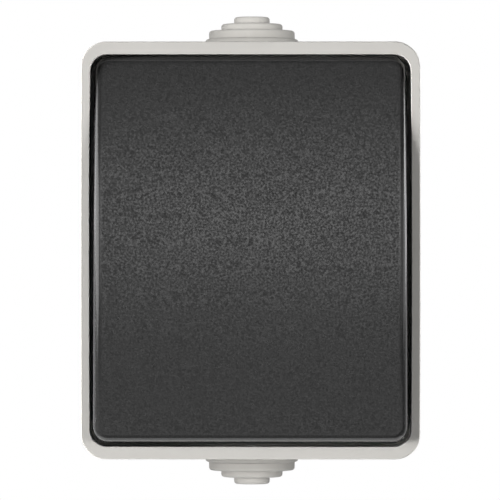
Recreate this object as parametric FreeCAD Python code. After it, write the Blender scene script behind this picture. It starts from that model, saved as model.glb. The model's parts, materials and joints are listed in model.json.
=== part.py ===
"""Surface-mounted weatherproof rocker switch, about 66 x 81 x 46 mm, with stepped cable grommets.

Everything is drawn lying on its back on the bench: X to the right, Y up the wall and Z out of
the wall, with the origin in the middle of the face that lies on the wall. stand_up() turns the
finished pieces so that +Z is up and the front looks along -Y. All sizes are in millimetres.
"""
import FreeCAD
import Part
import math
import os

from FreeCAD import Vector

X_AXIS = Vector(1, 0, 0)
Y_AXIS = Vector(0, 1, 0)

# Housing
BODY_W = 65.9            # front frame's width at its corners
BODY_H = 81.4            # front frame's height
SIDE_BOW = 0.2           # how far each long side bows out at mid height
CORNER_R = 5.3           # outer corners of the front frame
BASE_DEPTH = 25.0        # wall to the joint between base and front frame
FRAME_DEPTH = 16.0       # that joint to the frame's front face
EDGE_R = 0.8             # rounding of the frame's outer front edge
LIP_EDGE = 0.4           # chamfer of the frame's inner front edge
SIDE_BAR = 1.8           # frame's long bars, at the corners
END_BAR = 2.45           # frame's top and bottom bars
OPENING_R = 3.45         # corners of the rocker's well
OPENING_BOW = 0.35       # how far each long side of the well bows out
FRAME_WALL = 1.8         # skirt of the front frame, round the base's tongue
PLATE_T = 2.0            # front plate at the bottom of the rocker's well
BASE_INSET = 0.4         # shadow line: the base stands in from the frame
BASE_WALL = 2.4
FLOOR_T = 2.6            # back wall of the base
BACK_EDGE = 0.6          # chamfer of the base's rear edge
BACK_RECESS = 0.8        # hollow of the rear face inside its rim
BACK_RIM = 4.0           # width of that rim
TONGUE_T = 1.2           # upstanding rim of the base inside the frame
TONGUE_H = 2.5
GASKET_T = 1.5           # rubber between the tongue and the frame's ledge
FIT_GAP = 0.1            # play between moulded pieces that slip together

# Rocker
TILT = 4.5               # degrees to either side of the middle; the top is pressed at rest
EMERGE_Y = 29.5          # height at which the tilted face comes out of the frame's front plane
CROWN_R = 700.0          # gentle crown of the face, along its height
ROCKER_EDGE_R = 1.25     # polished rounding round the face
ROCKER_CORNER_R = 2.9
ROCKER_SKIN = 2.0        # thickness behind the face
ROCKER_WALL = 1.8
SKIRT_DEPTH = 7.0        # crown to the rim of the skirt
SIDE_GAP = 0.6           # rocker to the well's long sides, at the corners
RUNNING_GAP = 0.33       # rocker to the well's ends, at the end of its travel
FLOOR_GAP = 0.45         # pressed skirt to the front plate
PIVOT_DROP = 5.85        # crown to the pivot axis
RIB_T = 1.2              # stiffening ribs behind the face
RIB_H = 2.2
RIB_X = 20.5
RIB_Y = 22.0

# Cradle that the rocker clips onto
BEAM_W = 25.6            # length of the beam between the pivot ears
BEAM_D = 8.4             # across, in Y
BEAM_T = 4.2
PIN_R = 1.5
PIN_OUT = 3.6            # pivot pin beyond the end of the beam
PIN_PLAY = 0.05
STEM_W = 7.6             # square stem that holds the spring and the plunger
STEM_R = 1.2
CLIP_X = 8.0             # middle of the rocker's clips
CLIP_W = 5.0
CLIP_T = 1.4
CLIP_HOOK = 0.6
CLIP_PLAY = 0.12

# Bracket that carries the pivot
BRACKET_DROP = 1.0       # joint plane to the underside of the bracket's plate
BRACKET_T = 2.0
BRACKET_EDGE = 0.6       # plate beyond the rubber ring, in X
BRACKET_H = 24.0
LUG_R = 4.2
EAR_T = 3.0
EAR_R = 3.1              # ear's rounded top, about the pivot
EAR_FOOT = 6.0           # half width of the ear at its foot
EAR_GAP = 0.4            # ear to the end of the beam
SNAP_W = 2.4             # mouth through which the pin snaps in
STEM_SLOT = 12.4         # slot in the plate for the swinging stem, in Y
STEM_ROOM = 1.2          # stem to the sides of that slot

# Opening of the front plate round the pivot ears
MOUTH_GAP = 0.6          # opening's sides to the ends of the pivot pins
MOUTH_H = 18.0
MOUTH_R = 2.0
COLLAR_T = 1.6
COLLAR_LIP = 1.5         # drip edge above the front plate
SEAL_T = 1.6             # rubber ring under the collar

# Switch mechanism
SWITCH_W = 36.6
SWITCH_H = 43.0
SWITCH_R = 1.5
POST_GAP = 0.5           # mechanism's sides to the posts beside it
SEAT_Z = 4.4             # underside of the mechanism, on the base's pads
PAD = 6.0
CHANNEL_W = 10.8         # contact chamber and terminal channels
BARRIER_T = 1.0          # wall between the chamber and each terminal
WINDOW_H = 4.8           # gap under that wall for the terminal strip
STRIP_RISE = 5.0         # mechanism's underside to the terminal strips
CHAMBER_DROP = 1.4       # chamber floor below the strips
CORE_WALL = 1.8          # walls left round the cored pockets
STRIP_T = 1.6
STRIP_W = 7.2
STRIP_END = 2.0          # strip's end in from the mechanism's face
STRIP_EDGE = 0.7         # strip's inner end beyond its rivet
COMMON_FOOT = 5.2        # width of its cross piece
CLAMP_IN = 4.5           # terminal screws in from the mechanism's ends
CLAMP_PLATE = 7.0
CLAMP_PLATE_T = 1.2
CLAMP_CLEAR = 0.3        # clamp plate to the barrier
WIRE_GAP = 2.0           # room for the conductor under the clamp plate
BLADE_RISE = 2.2         # strip to the contact blade's pivot
BLADE_W = 4.4
BLADE_T = 0.8
BLADE_CLEAR = 1.8        # blade's end to the barrier
BLADE_V = 6.0            # degrees that each wing is raised
BLADE_FLIP = 9.0         # degrees that the blade tips to either side
BEAD_R = 0.9             # pressed bead that the blade rocks on
BEAD_PLAY = 0.05
CHEEK_T = 0.8
CHEEK_RISE = 2.0         # cheeks above the blade's pivot
SADDLE_H = 3.2           # saddle's length, in Y
SADDLE_DROP = 0.6        # blade's pivot to the top of the saddle
RIVET_R = 1.4
RIVET_T = 0.7
FIXED_RIVET_R = 1.6
FIXED_RIVET_EDGE = 0.2   # height of the rivet's tapered edge
FIXED_RIVET_FLAT = 1.0   # radius of its face
CONTACT_GAP = 0.1        # play in the closed contact
PLUNGER_R = 1.8
PLUNGER_PLAY = 0.1
PLUNGER_GRIP = 4.5       # plunger inside the stem
PLUNGER_NOSE = 0.6       # flat at the end of the plunger's conical nose
NOSE_H = 1.3
TIP_GAP = 0.2            # plunger to the blade at mid travel
STEM_RISE = 7.3          # blade's pivot to the stem's end
SPRING_TOP_DROP = 5.1    # pivot axis to the end of the spring's bore
SPRING_WIRE_R = 0.22
SPRING_PLAY = 0.2        # coil to the wall of the bore
SPRING_TURNS = 4
SPRING_RUNS = 10         # straight runs in each turn of the coil
SPRING_SIDES = 8         # flats round its wire
SPRING_SEAT = 0.05

# Screws
SCREW_R = 1.5
SCREW_PLAY = 0.05        # shank to the hole that it cuts its thread in
SCREW_CLEAR = 0.35       # shank to the hole that it passes through
HEAD_R = 3.2
HEAD_T = 2.2
HEAD_SINK = 0.2          # sunk screw head below the plate's face
SLOT_CUT_W = 0.9
SLOT_CUT_D = 1.1
SCREW_BITE = 10.0        # shank in its post
POST_R = 3.6
POST_END = 1.0           # pilot hole beyond the screw's end
COVER_SCREW_IN_X = 5.65  # cover screws in from the room's side walls
COVER_SCREW_IN_Y = 6.9   # and from its end walls
BOSS_R = 4.5
WEB_T = 1.6              # web between a post and the side wall
TERMINAL_SCREW_R = 1.65
TERMINAL_HEAD_R = 3.1
TERMINAL_TAIL = 1.0      # screw's end below the strip

# Wall fixing
FIX_SPACING = 60.0
SLOT_W = 4.5
SLOT_L = 8.0
SLOT_COLLAR = 2.0        # width of the raised collar round a slot
SLOT_COLLAR_H = 1.2

# Cable grommets: diameter and height of each ring, from the wall outwards
ENTRY_Z = 12.5
ENTRY_R = 8.0
GROMMET_RINGS = ((18.7, 2.1), (17.2, 1.7), (12.3, 1.35), (7.15, 1.4))
GROMMET_WALL = 1.2
GROMMET_EDGE = 0.4       # broken edge of each ring
FLANGE_R = 9.6
FLANGE_T = 1.6

# Levels and outlines that follow from the sizes above
TILT_SIN = math.sin(math.radians(TILT))
TILT_COS = math.cos(math.radians(TILT))
FRAME_Z = BASE_DEPTH + FRAME_DEPTH
OPENING_W = BODY_W - 2 * SIDE_BAR
OPENING_H = BODY_H - 2 * END_BAR
CROWN_Z = FRAME_Z + EMERGE_Y * TILT_SIN + EMERGE_Y ** 2 / (2 * CROWN_R)
PIVOT_Z = CROWN_Z - PIVOT_DROP
END_SAG = (OPENING_H / 2) ** 2 / (2 * CROWN_R)
EDGE_Z = CROWN_Z - END_SAG - ROCKER_EDGE_R
TILT_SHIFT = (EDGE_Z - PIVOT_Z) * TILT_SIN - OPENING_H / 2 * (1 - TILT_COS)
ROCKER_W = OPENING_W - 2 * SIDE_GAP
ROCKER_H = OPENING_H - 2 * (RUNNING_GAP + TILT_SHIFT)
SKIRT_Z = CROWN_Z - SKIRT_DEPTH
PLATE_TOP = SKIRT_Z - ROCKER_H / 2 * TILT_SIN - FLOOR_GAP
PLATE_Z = PLATE_TOP - PLATE_T
CEILING_Z = CROWN_Z - ROCKER_SKIN
BEAM_TOP = PIVOT_Z + BEAM_T / 2
BEAM_Z = PIVOT_Z - BEAM_T / 2

BASE_W = BODY_W - 2 * BASE_INSET
BASE_H = BODY_H - 2 * BASE_INSET
BASE_R = CORNER_R - BASE_INSET
ROOM_W = BASE_W - 2 * BASE_WALL
ROOM_H = BASE_H - 2 * BASE_WALL
ROOM_R = BASE_R - BASE_WALL
TONGUE_W = BODY_W - 2 * (FRAME_WALL + FIT_GAP)
TONGUE_LEN = BODY_H - 2 * (FRAME_WALL + FIT_GAP)
TONGUE_R = CORNER_R - FRAME_WALL - FIT_GAP
TONGUE_TOP = BASE_DEPTH + TONGUE_H
LEDGE_Z = TONGUE_TOP + GASKET_T

COVER_SCREW_X = ROOM_W / 2 - COVER_SCREW_IN_X
COVER_SCREW_Y = ROOM_H / 2 - COVER_SCREW_IN_Y
LUG_X = SWITCH_W / 2 + POST_GAP + POST_R
MOUTH_W = BEAM_W + 2 * (PIN_OUT + MOUTH_GAP)
BRACKET_W = MOUTH_W + 2 * (COLLAR_T + BRACKET_EDGE)
BRACKET_Z = BASE_DEPTH - BRACKET_DROP
BRACKET_TOP = BRACKET_Z + BRACKET_T
COLLAR_Z = BRACKET_TOP + SEAL_T
EAR_X = BEAM_W / 2 + EAR_GAP

CLAMP_Y = SWITCH_H / 2 - CLAMP_IN
CHAMBER_END = CLAMP_Y - CLAMP_PLATE / 2 - CLAMP_CLEAR - BARRIER_T
BLADE_REACH = CHAMBER_END - BLADE_CLEAR
RIVET_REACH = BLADE_REACH - RIVET_R
COMMON_NEAR = CHANNEL_W / 2 + CORE_WALL
COMMON_FAR = SWITCH_W / 2 - CORE_WALL
COMMON_X = (COMMON_NEAR + COMMON_FAR) / 2
STRIP_Z = SEAT_Z + STRIP_RISE
STRIP_TOP = STRIP_Z + STRIP_T
BLADE_Z = STRIP_TOP + BLADE_RISE
CLAMP_Z = STRIP_TOP + WIRE_GAP
CLAMP_TOP = CLAMP_Z + CLAMP_PLATE_T
STEM_Z = BLADE_Z + STEM_RISE
BORE_TOP = PIVOT_Z - SPRING_TOP_DROP
TIP_Z = BLADE_Z + BLADE_T / 2 / math.cos(math.radians(BLADE_V)) + TIP_GAP
PLUNGER_TOP = STEM_Z + PLUNGER_GRIP
SINK_Z = PLATE_TOP - HEAD_SINK - HEAD_T


def outline(width, height, radius, bow=0.0):
    """Rounded rectangle about the origin. With a bow, each long side is an arc that stands out
    by that much at mid height, and the corner arcs run into it without a kink."""
    half_w = width / 2
    half_h = height / 2
    corner_y = half_h - radius
    corner_x = half_w - radius
    touch_x = half_w
    touch_y = corner_y
    if bow:
        side_r = (corner_y ** 2 + bow ** 2) / (2 * bow)
        side_x = half_w + bow - side_r
        corner_x = side_x + math.sqrt((side_r - radius) ** 2 - corner_y ** 2)
        reach = side_r / (side_r - radius)
        touch_x = side_x + (corner_x - side_x) * reach
        touch_y = corner_y * reach
    turn = math.atan2(touch_y - corner_y, touch_x - corner_x)
    middle = (turn + math.pi / 2) / 2
    arc_x = corner_x + radius * math.cos(middle)
    arc_y = corner_y + radius * math.sin(middle)

    def corner(sx, sy, inwards):
        ends = [Vector(sx * touch_x, sy * touch_y), Vector(sx * corner_x, sy * half_h)]
        first, last = ends if inwards else ends[::-1]
        return Part.Arc(first, Vector(sx * arc_x, sy * arc_y), last).toShape()

    def side(sx):
        low = Vector(sx * touch_x, -sx * touch_y)
        high = Vector(sx * touch_x, sx * touch_y)
        if bow:
            return Part.Arc(low, Vector(sx * (half_w + bow), 0), high).toShape()
        return Part.LineSegment(low, high).toShape()

    def end(sy):
        first = Vector(sy * corner_x, sy * half_h)
        last = Vector(-sy * corner_x, sy * half_h)
        return Part.LineSegment(first, last).toShape()

    edges = [side(1), corner(1, 1, True), end(1), corner(-1, 1, False)]
    edges += [side(-1), corner(-1, -1, True), end(-1), corner(1, -1, False)]
    return Part.Wire(edges)


def slab(width, height, radius, z0, z1, bow=0.0):
    """Upright prism of a rounded rectangle between two levels."""
    solid = Part.Face(outline(width, height, radius, bow)).extrude(Vector(0, 0, z1 - z0))
    solid.translate(Vector(0, 0, z0))
    return solid


def ring(width, height, radius, wall, z0, z1):
    """Rounded rectangular ring: its outer outline and the width of its wall."""
    hole = slab(width - 2 * wall, height - 2 * wall, max(radius - wall, wall / 2), z0, z1)
    return slab(width, height, radius, z0, z1).cut(hole)


def block(x0, x1, y0, y1, z0, z1):
    """Box between two corners."""
    return Part.makeBox(x1 - x0, y1 - y0, z1 - z0, Vector(x0, y0, z0))


def post(x, y, z0, z1, radius):
    """Round bar along Z."""
    return Part.makeCylinder(radius, z1 - z0, Vector(x, y, z0))


def across(points, half_width):
    """Prism along X, about X = 0, of a closed outline of (y, z) points."""
    corners = [Vector(-half_width, y, z) for y, z in points]
    face = Part.Face(Part.makePolygon(corners + corners[:1]))
    return face.extrude(Vector(2 * half_width, 0, 0))


def fuse(first, *others):
    return first.multiFuse(list(others)).removeSplitter()


def cut(solid, *tools):
    for tool in tools:
        solid = solid.cut(tool)
    return solid


def mirrored_y(solid):
    return solid.mirror(Vector(0, 0, 0), Y_AXIS)


def crown_cylinder(radius):
    """Long cylinder along X whose top line is the crown of the face, less the skin behind it."""
    length = 2 * BODY_W
    return Part.makeCylinder(radius, length, Vector(-length / 2, 0, CROWN_Z - CROWN_R), X_AXIS)


def cover_screw_places():
    return [(-COVER_SCREW_X, COVER_SCREW_Y), (COVER_SCREW_X, -COVER_SCREW_Y)]


def mechanism_screw_places():
    return [(-LUG_X, 0.0), (LUG_X, 0.0)]


def terminal_places():
    return [(0.0, CLAMP_Y), (0.0, -CLAMP_Y), (COMMON_X, CLAMP_Y)]


def base_box():
    """Open-fronted back box: wall, tongue for the frame, cable entries, slots and posts."""
    box = slab(BASE_W, BASE_H, BASE_R, 0, BASE_DEPTH)
    rear = [e for e in box.Edges if e.BoundBox.ZMax < BACK_EDGE]
    box = box.makeChamfer(BACK_EDGE, rear)
    box = box.cut(slab(ROOM_W, ROOM_H, ROOM_R, FLOOR_T, BASE_DEPTH))
    tongue = ring(TONGUE_W, TONGUE_LEN, TONGUE_R, TONGUE_T, BASE_DEPTH, TONGUE_TOP)
    foot = ring(TONGUE_W, TONGUE_LEN, TONGUE_R, TONGUE_T, BASE_DEPTH - TONGUE_T, BASE_DEPTH)
    added = [tongue, foot.cut(cable_holes())]

    for x, y in cover_screw_places():
        side = math.copysign(1, x)
        added.append(post(x, y, FLOOR_T / 2, BASE_DEPTH, POST_R))
        inner, outer = sorted((x, side * (ROOM_W / 2 + BASE_WALL / 2)))
        web_top = BASE_DEPTH - TONGUE_T
        added.append(block(inner, outer, y - WEB_T / 2, y + WEB_T / 2, FLOOR_T / 2, web_top))
    for x, y in mechanism_screw_places():
        added.append(post(x, y, FLOOR_T / 2, BRACKET_Z, POST_R))
    pad_x = SWITCH_W / 2 - PAD / 2 - SWITCH_R
    pad_y = SWITCH_H / 2 - PAD / 2 - SWITCH_R
    for x, y in ((-pad_x, -pad_y), (pad_x, -pad_y), (pad_x, pad_y), (-pad_x, pad_y)):
        added.append(block(x - PAD / 2, x + PAD / 2, y - PAD / 2, y + PAD / 2, FLOOR_T / 2, SEAT_Z))
    slots = []
    lands = []
    collar_z = FLOOR_T + SLOT_COLLAR_H
    for s in (-1, 1):
        y = s * FIX_SPACING / 2
        added.append(long_hole(SLOT_COLLAR, y, FLOOR_T / 2, collar_z))
        lands.append(long_hole(BACK_RIM, y, 0, BACK_RECESS))
        slots.append(long_hole(0.0, y, 0, collar_z))

    box = fuse(box, *added)
    recess = cut(slab(BASE_W - 2 * BACK_RIM, BASE_H - 2 * BACK_RIM, BASE_R, 0, BACK_RECESS), *lands)
    pilots = [pilot_hole(x, y, BASE_DEPTH) for x, y in cover_screw_places()]
    pilots += [pilot_hole(x, y, BRACKET_Z) for x, y in mechanism_screw_places()]
    return cut(box, recess, cable_holes(), *slots, *pilots)


def pilot_hole(x, y, top):
    """Blind hole down a post, in which a screw cuts its thread."""
    return post(x, y, top - SCREW_BITE - POST_END, top, SCREW_R + SCREW_PLAY)


def long_hole(margin, y, z0, z1):
    """Upright bar with round ends at the height y: a fixing slot, larger all round by the margin."""
    radius = SLOT_W / 2 + margin
    half_run = (SLOT_L - SLOT_W) / 2
    ends = [post(0, y + s * half_run, z0, z1, radius) for s in (-1, 1)]
    return fuse(*ends, block(-radius, radius, y - half_run, y + half_run, z0, z1))


def cable_holes():
    """Round cutters through the top and bottom walls of the base."""
    inner = ROOM_H / 2 - BASE_WALL
    outer = BASE_H / 2 + BASE_WALL
    top = Part.makeCylinder(ENTRY_R, outer - inner, Vector(0, inner, ENTRY_Z), Y_AXIS)
    return Part.makeCompound([top, mirrored_y(top)])


def front_frame():
    """Front frame: rounded bars, the rocker's well, the front plate and its collar and bosses."""
    frame = slab(BODY_W, BODY_H, CORNER_R, BASE_DEPTH, FRAME_Z, SIDE_BOW)
    front = [e for e in frame.Edges if e.BoundBox.ZMin > FRAME_Z - EDGE_R / 2]
    frame = frame.makeFillet(EDGE_R, front)
    well = slab(OPENING_W, OPENING_H, OPENING_R, PLATE_TOP, FRAME_Z, OPENING_BOW)
    frame = frame.cut(well)
    lip = [e for e in frame.Edges if e.BoundBox.ZMin > FRAME_Z - LIP_EDGE / 2 and well_edge(e)]
    frame = frame.makeChamfer(LIP_EDGE, lip)

    frame = cut(frame, tongue_room(FIT_GAP, LEDGE_Z), tongue_room(-TONGUE_T, PLATE_Z))

    collar = mouth_block(COLLAR_T)
    bosses = [post(x, y, BASE_DEPTH, PLATE_Z + PLATE_T / 2, BOSS_R) for x, y in cover_screw_places()]
    frame = fuse(frame, collar, *bosses)
    mouth = mouth_block(0.0)
    holes = [post(x, y, BASE_DEPTH, PLATE_TOP, SCREW_R + SCREW_CLEAR) for x, y in cover_screw_places()]
    sinks = [post(x, y, SINK_Z, PLATE_TOP, HEAD_R + SCREW_CLEAR) for x, y in cover_screw_places()]
    return cut(frame, mouth, *holes, *sinks)


def tongue_room(margin, top):
    """Room for the base's tongue from the joint plane up, larger all round by the margin."""
    width = TONGUE_W + 2 * margin
    height = TONGUE_LEN + 2 * margin
    return slab(width, height, TONGUE_R + margin, BASE_DEPTH, top)


def mouth_block(margin):
    """Prism of the front plate's opening, from the seal to the drip edge, larger by the margin."""
    width = MOUTH_W + 2 * margin
    height = MOUTH_H + 2 * margin
    return slab(width, height, MOUTH_R + margin, COLLAR_Z, PLATE_TOP + COLLAR_LIP)


def well_edge(edge):
    """True for an edge of the rocker's well, and not of the frame's outer front."""
    box = edge.BoundBox
    inside_x = max(abs(box.XMin), abs(box.XMax)) < OPENING_W / 2 + OPENING_BOW + EDGE_R / 4
    inside_y = max(abs(box.YMin), abs(box.YMax)) < OPENING_H / 2 + EDGE_R / 4
    return inside_x and inside_y


def cover_gasket():
    """Rubber ring between the base's tongue and the ledge inside the front frame."""
    return ring(TONGUE_W, TONGUE_LEN, TONGUE_R, TONGUE_T, TONGUE_TOP, LEDGE_Z)


def collar_seal():
    """Rubber ring between the front plate's collar and the bracket."""
    outer_w = MOUTH_W + 2 * COLLAR_T
    outer_h = MOUTH_H + 2 * COLLAR_T
    return ring(outer_w, outer_h, MOUTH_R + COLLAR_T, COLLAR_T, BRACKET_TOP, COLLAR_Z)


def grommet():
    """Stepped cable grommet of the top wall: rings outside, a neck in the wall and a flange inside.

    It is hollow from inside the box: a bore up to the second ring, then a cone to below the tip."""
    inner_face = -BASE_WALL
    neck_r = ENTRY_R - FIT_GAP / 2
    flange = upright_disc(FLANGE_R, inner_face - FLANGE_T, inner_face)
    neck = upright_disc(neck_r, inner_face, 0)
    rings = []
    level = 0.0
    for diameter, height in GROMMET_RINGS:
        rings.append(upright_disc(diameter / 2, level, level + height))
        level += height
    body = fuse(flange, neck, *rings)
    body = body.makeChamfer(GROMMET_EDGE, [e for e in body.Edges if ring_top(e)])
    tip_r = GROMMET_RINGS[-1][0] / 2 - GROMMET_WALL
    cone_r = GROMMET_RINGS[-2][0] / 2 - GROMMET_WALL
    cone_low = GROMMET_RINGS[0][1] + GROMMET_RINGS[1][1] - GROMMET_WALL
    bore = upright_disc(neck_r - GROMMET_WALL, inner_face - FLANGE_T, cone_low)
    cone_h = level - GROMMET_WALL - cone_low
    cone = Part.makeCone(cone_r, tip_r, cone_h, Vector(0, cone_low, 0), Y_AXIS)
    body = cut(body, bore, cone)
    body.translate(Vector(0, BASE_H / 2, ENTRY_Z))
    return body


def upright_disc(radius, low, high):
    """Disc about the Y axis between two heights."""
    return Part.makeCylinder(radius, high - low, Vector(0, low, 0), Y_AXIS)


def ring_top(edge):
    """True for the outer rim at the top of a grommet ring, which has a broken edge."""
    if not isinstance(edge.Curve, Part.Circle):
        return False
    level = 0.0
    for diameter, height in GROMMET_RINGS:
        level += height
        same_level = abs(edge.Curve.Center.y - level) < GROMMET_EDGE / 2
        if same_level and abs(edge.Curve.Radius - diameter / 2) < GROMMET_EDGE / 2:
            return True
    return False


def rocker():
    """Rocker: crowned face with a rounded edge, hollow behind, with ribs and clips for the cradle."""
    body = slab(ROCKER_W, ROCKER_H, ROCKER_CORNER_R, SKIRT_Z, CROWN_Z + ROCKER_SKIN)
    body = body.common(crown_cylinder(CROWN_R))
    rim = [e for e in body.Edges if e.BoundBox.ZMin > SKIRT_Z + SKIRT_DEPTH / 2]
    envelope = body.makeFillet(ROCKER_EDGE_R, rim)
    hollow_w = ROCKER_W - 2 * ROCKER_WALL
    hollow_h = ROCKER_H - 2 * ROCKER_WALL
    hollow = slab(hollow_w, hollow_h, ROCKER_CORNER_R - ROCKER_WALL, SKIRT_Z, CROWN_Z)
    shell = envelope.cut(hollow.common(crown_cylinder(CROWN_R - ROCKER_SKIN)))

    ribs = []
    clips = []
    rib_z = CEILING_Z - RIB_H
    half_w = ROCKER_W / 2
    half_h = ROCKER_H / 2
    rooted = CEILING_Z + ROCKER_SKIN / 2
    for s in (-1, 1):
        left = s * RIB_X - RIB_T / 2
        ribs.append(block(left, left + RIB_T, -half_h, half_h, rib_z, CROWN_Z))
        low = s * RIB_Y - RIB_T / 2
        ribs.append(block(-half_w, half_w, low, low + RIB_T, rib_z, CROWN_Z))
        left = s * CLIP_X - CLIP_W / 2
        clips.append(block(left, left + CLIP_W, -RIB_T, RIB_T, BEAM_TOP, rooted))
        clips.append(clip(s * CLIP_X, 1, rooted))
        clips.append(clip(s * CLIP_X, -1, rooted))
    ribs = [rib.common(envelope) for rib in ribs]
    return fuse(shell, *ribs, *clips)


def clip(x, side, rooted):
    """One springy clip: a leg beside the cradle's beam with a hook under its edge."""
    near = BEAM_D / 2 + CLIP_PLAY
    far = near + CLIP_T
    hook_top = BEAM_Z - CLIP_PLAY
    points = [(near, rooted), (near, hook_top), (near - CLIP_HOOK - CLIP_PLAY, hook_top)]
    points += [(near, hook_top - CLIP_T), (far, hook_top - CLIP_T), (far, rooted)]
    leg = across([(side * y, z) for y, z in points], CLIP_W / 2)
    leg.translate(Vector(x, 0, 0))
    return leg


def cradle():
    """Tumbler that the rocker clips onto: beam, pivot pins and the stem with the spring's bore."""
    half = BEAM_W / 2
    beam = block(-half, half, -BEAM_D / 2, BEAM_D / 2, BEAM_Z, BEAM_TOP)
    pin = Part.makeCylinder(PIN_R, BEAM_W + 2 * PIN_OUT, Vector(-half - PIN_OUT, 0, PIVOT_Z), X_AXIS)
    stem = slab(STEM_W, STEM_W, STEM_R, STEM_Z, PIVOT_Z)
    gusset_points = [(-half, BEAM_Z), (half, BEAM_Z), (STEM_W / 2, BEAM_Z - half + STEM_W / 2)]
    gusset_points.append((-STEM_W / 2, BEAM_Z - half + STEM_W / 2))
    corners = [Vector(x, -RIB_T / 2, z) for x, z in gusset_points]
    gusset = Part.Face(Part.makePolygon(corners + corners[:1])).extrude(Vector(0, RIB_T, 0))
    bore = post(0, 0, STEM_Z, BORE_TOP, PLUNGER_R + PLUNGER_PLAY)
    return cut(fuse(beam, pin, stem, gusset), bore)


def toggle_spring():
    """Coil spring between the end of the cradle's bore and the plunger, bent in short straight runs."""
    coil_r = PLUNGER_R + PLUNGER_PLAY - SPRING_PLAY - SPRING_WIRE_R
    start = PLUNGER_TOP + SPRING_SEAT + SPRING_WIRE_R
    rise = BORE_TOP - SPRING_SEAT - SPRING_WIRE_R - start
    runs = SPRING_TURNS * SPRING_RUNS
    sections = []
    for number in range(runs + 1):
        turn = 2 * math.pi * number / SPRING_RUNS
        middle = start + rise * number / runs
        corners = []
        for side in range(SPRING_SIDES + 1):
            around = 2 * math.pi * side / SPRING_SIDES
            reach = coil_r + SPRING_WIRE_R * math.cos(around)
            height = middle + SPRING_WIRE_R * math.sin(around)
            corners.append(Vector(reach * math.cos(turn), reach * math.sin(turn), height))
        sections.append(Part.makePolygon(corners))
    return Part.makeLoft(sections, True, True)


def plunger():
    """Pin with a conical nose that the spring presses on the contact blade."""
    nose = Part.makeCone(PLUNGER_NOSE, PLUNGER_R, NOSE_H, Vector(0, 0, TIP_Z))
    return fuse(post(0, 0, TIP_Z + NOSE_H, PLUNGER_TOP, PLUNGER_R), nose)


def pivot_bracket():
    """Moulded plate over the mechanism, with two ears that the cradle's pins snap into."""
    half_w = BRACKET_W / 2
    half_h = BRACKET_H / 2
    plate = block(-half_w, half_w, -half_h, half_h, BRACKET_Z, BRACKET_TOP)
    lugs = [post(x, y, BRACKET_Z, BRACKET_TOP, LUG_R) for x, y in mechanism_screw_places()]
    lugs.append(block(-LUG_X, LUG_X, -LUG_R, LUG_R, BRACKET_Z, BRACKET_TOP))
    ears = [ear(s) for s in (-1, 1)]
    bracket = fuse(plate, *lugs, *ears)
    slot_x = STEM_W / 2 + STEM_ROOM
    slot = block(-slot_x, slot_x, -STEM_SLOT / 2, STEM_SLOT / 2, BRACKET_Z, BRACKET_TOP)
    holes = [post(x, y, BRACKET_Z, BRACKET_TOP, SCREW_R + SCREW_CLEAR) for x, y in mechanism_screw_places()]
    return cut(bracket, slot, *holes)


def ear(side):
    """One pivot ear: tapered cheek with a round top, the bearing and its snap mouth."""
    foot = BRACKET_Z + BRACKET_T / 2
    left_foot = Vector(0, -EAR_FOOT, foot)
    left_top = Vector(0, -EAR_R, PIVOT_Z)
    right_top = Vector(0, EAR_R, PIVOT_Z)
    right_foot = Vector(0, EAR_FOOT, foot)
    edges = [Part.LineSegment(left_foot, left_top).toShape()]
    edges.append(Part.Arc(left_top, Vector(0, 0, PIVOT_Z + EAR_R), right_top).toShape())
    edges.append(Part.LineSegment(right_top, right_foot).toShape())
    edges.append(Part.LineSegment(right_foot, left_foot).toShape())
    cheek = Part.Face(Part.Wire(edges)).extrude(Vector(EAR_T, 0, 0))
    bearing = Part.makeCylinder(PIN_R + PIN_PLAY, EAR_T, Vector(0, 0, PIVOT_Z), X_AXIS)
    mouth = block(0, EAR_T, -SNAP_W / 2, SNAP_W / 2, PIVOT_Z, PIVOT_Z + EAR_R)
    cheek = cut(cheek, bearing, mouth)
    cheek.translate(Vector(EAR_X if side > 0 else -EAR_X - EAR_T, 0, 0))
    return cheek


def switch_body():
    """Insulating block with the contact chamber, the terminal channels and cored pockets."""
    half_h = SWITCH_H / 2
    half_channel = CHANNEL_W / 2
    top = BRACKET_Z
    body = slab(SWITCH_W, SWITCH_H, SWITCH_R, SEAT_Z, top)
    tools = [block(-half_channel, half_channel, -CHAMBER_END, CHAMBER_END, STRIP_Z - CHAMBER_DROP, top)]
    for s in (-1, 1):
        near, far = sorted((s * (CHAMBER_END + BARRIER_T), s * half_h))
        tools.append(block(-half_channel, half_channel, near, far, STRIP_Z, top))
        under, beyond = sorted((s * CHAMBER_END, s * (CHAMBER_END + BARRIER_T)))
        tools.append(block(-half_channel, half_channel, under, beyond, STRIP_Z, STRIP_Z + WINDOW_H))
    inner = COMMON_NEAR
    outer = COMMON_FAR
    foot = COMMON_FOOT / 2 + FIT_GAP
    tools.append(block(inner, outer, -foot, half_h, STRIP_Z, top))
    tools.append(block(half_channel, inner, -foot, foot, STRIP_Z, STRIP_Z + WINDOW_H))
    tools.append(block(inner, outer, CORE_WALL - half_h, -foot - CORE_WALL, SEAT_Z + CORE_WALL, top))
    tools.append(block(-outer, -inner, CORE_WALL - half_h, half_h - CORE_WALL, SEAT_Z + CORE_WALL, top))
    tail = STRIP_Z - TERMINAL_TAIL - POST_END
    tools += [post(x, y, tail, STRIP_Z, TERMINAL_SCREW_R + SCREW_CLEAR) for x, y in terminal_places()]
    return cut(body, *tools)


def strip_hole(x, y):
    return post(x, y, STRIP_Z, STRIP_TOP, TERMINAL_SCREW_R + SCREW_PLAY)


def terminal_upper():
    """Brass strip from the upper fixed contact to its screw."""
    near = RIVET_REACH - FIXED_RIVET_R - STRIP_EDGE
    far = SWITCH_H / 2 - STRIP_END
    strip = block(-STRIP_W / 2, STRIP_W / 2, near, far, STRIP_Z, STRIP_TOP)
    return strip.cut(strip_hole(0.0, CLAMP_Y))


def terminal_lower():
    return mirrored_y(terminal_upper())


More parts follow.
